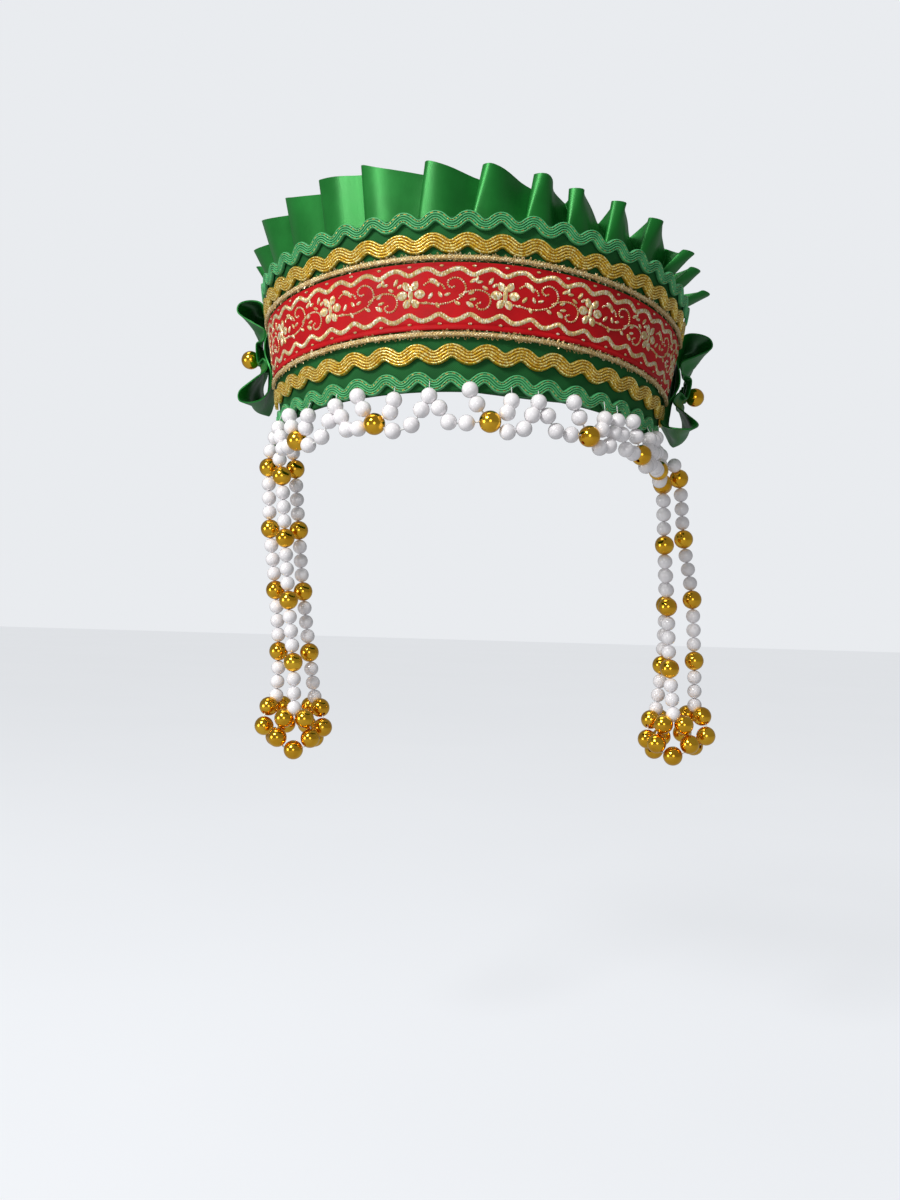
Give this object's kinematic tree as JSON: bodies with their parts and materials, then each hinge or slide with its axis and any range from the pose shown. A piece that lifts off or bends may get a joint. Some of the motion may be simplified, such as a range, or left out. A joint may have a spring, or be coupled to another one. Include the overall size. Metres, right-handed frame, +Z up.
{
  "type": "kokoshnik headdress",
  "caption": "Soft crown of green cloth with a pleated satin ruffle, woven ribbon and wavy braids, a net of pearls along its rim and a bead pendant at each temple.",
  "frame": {"origin": "centre of the head opening, level with the band's lower edge at the temples", "axes": "+Z up, -Y the way the wearer looks, +X to the wearer's left, which is the right side of the picture"},
  "size_m": [0.2102, 0.176, 0.2283],
  "materials": {
    "dark_green_cloth": "matte cloth",
    "green_satin": "glossy satin",
    "red_jacquard": "woven",
    "gold_lurex": "metallic thread",
    "gold_ricrac": "metallic thread",
    "green_ricrac": "soft sheen",
    "pearl": "pearl gloss",
    "gold_bead": "polished gold",
    "green_elastic": "matte woven elastic"
  },
  "bodies": {
    "root": {"crown_band": "dark_green_cloth", "jacquard_ribbon": "red_jacquard", "braid_lower": "gold_lurex", "braid_upper": "gold_lurex", "ricrac_gold_lower": "gold_ricrac", "ricrac_gold_upper": "gold_ricrac", "ricrac_green_lower": "green_ricrac", "ricrac_green_upper": "green_ricrac", "satin_ruffle": "green_satin", "back_elastic": "green_elastic", "bow_left": "green_satin", "bow_right": "green_satin", "bow_tail_left": "green_satin", "bow_bead_left": "gold_bead", "bow_bead_right": "gold_bead", "pearl_net": "pearl", "strand_left_outer": "pearl", "strand_left_front": "pearl", "strand_left_inner": "pearl", "strand_right_front": "pearl", "strand_right_outer": "pearl", "strand_right_inner": "pearl"}
  },
  "joints": []
}
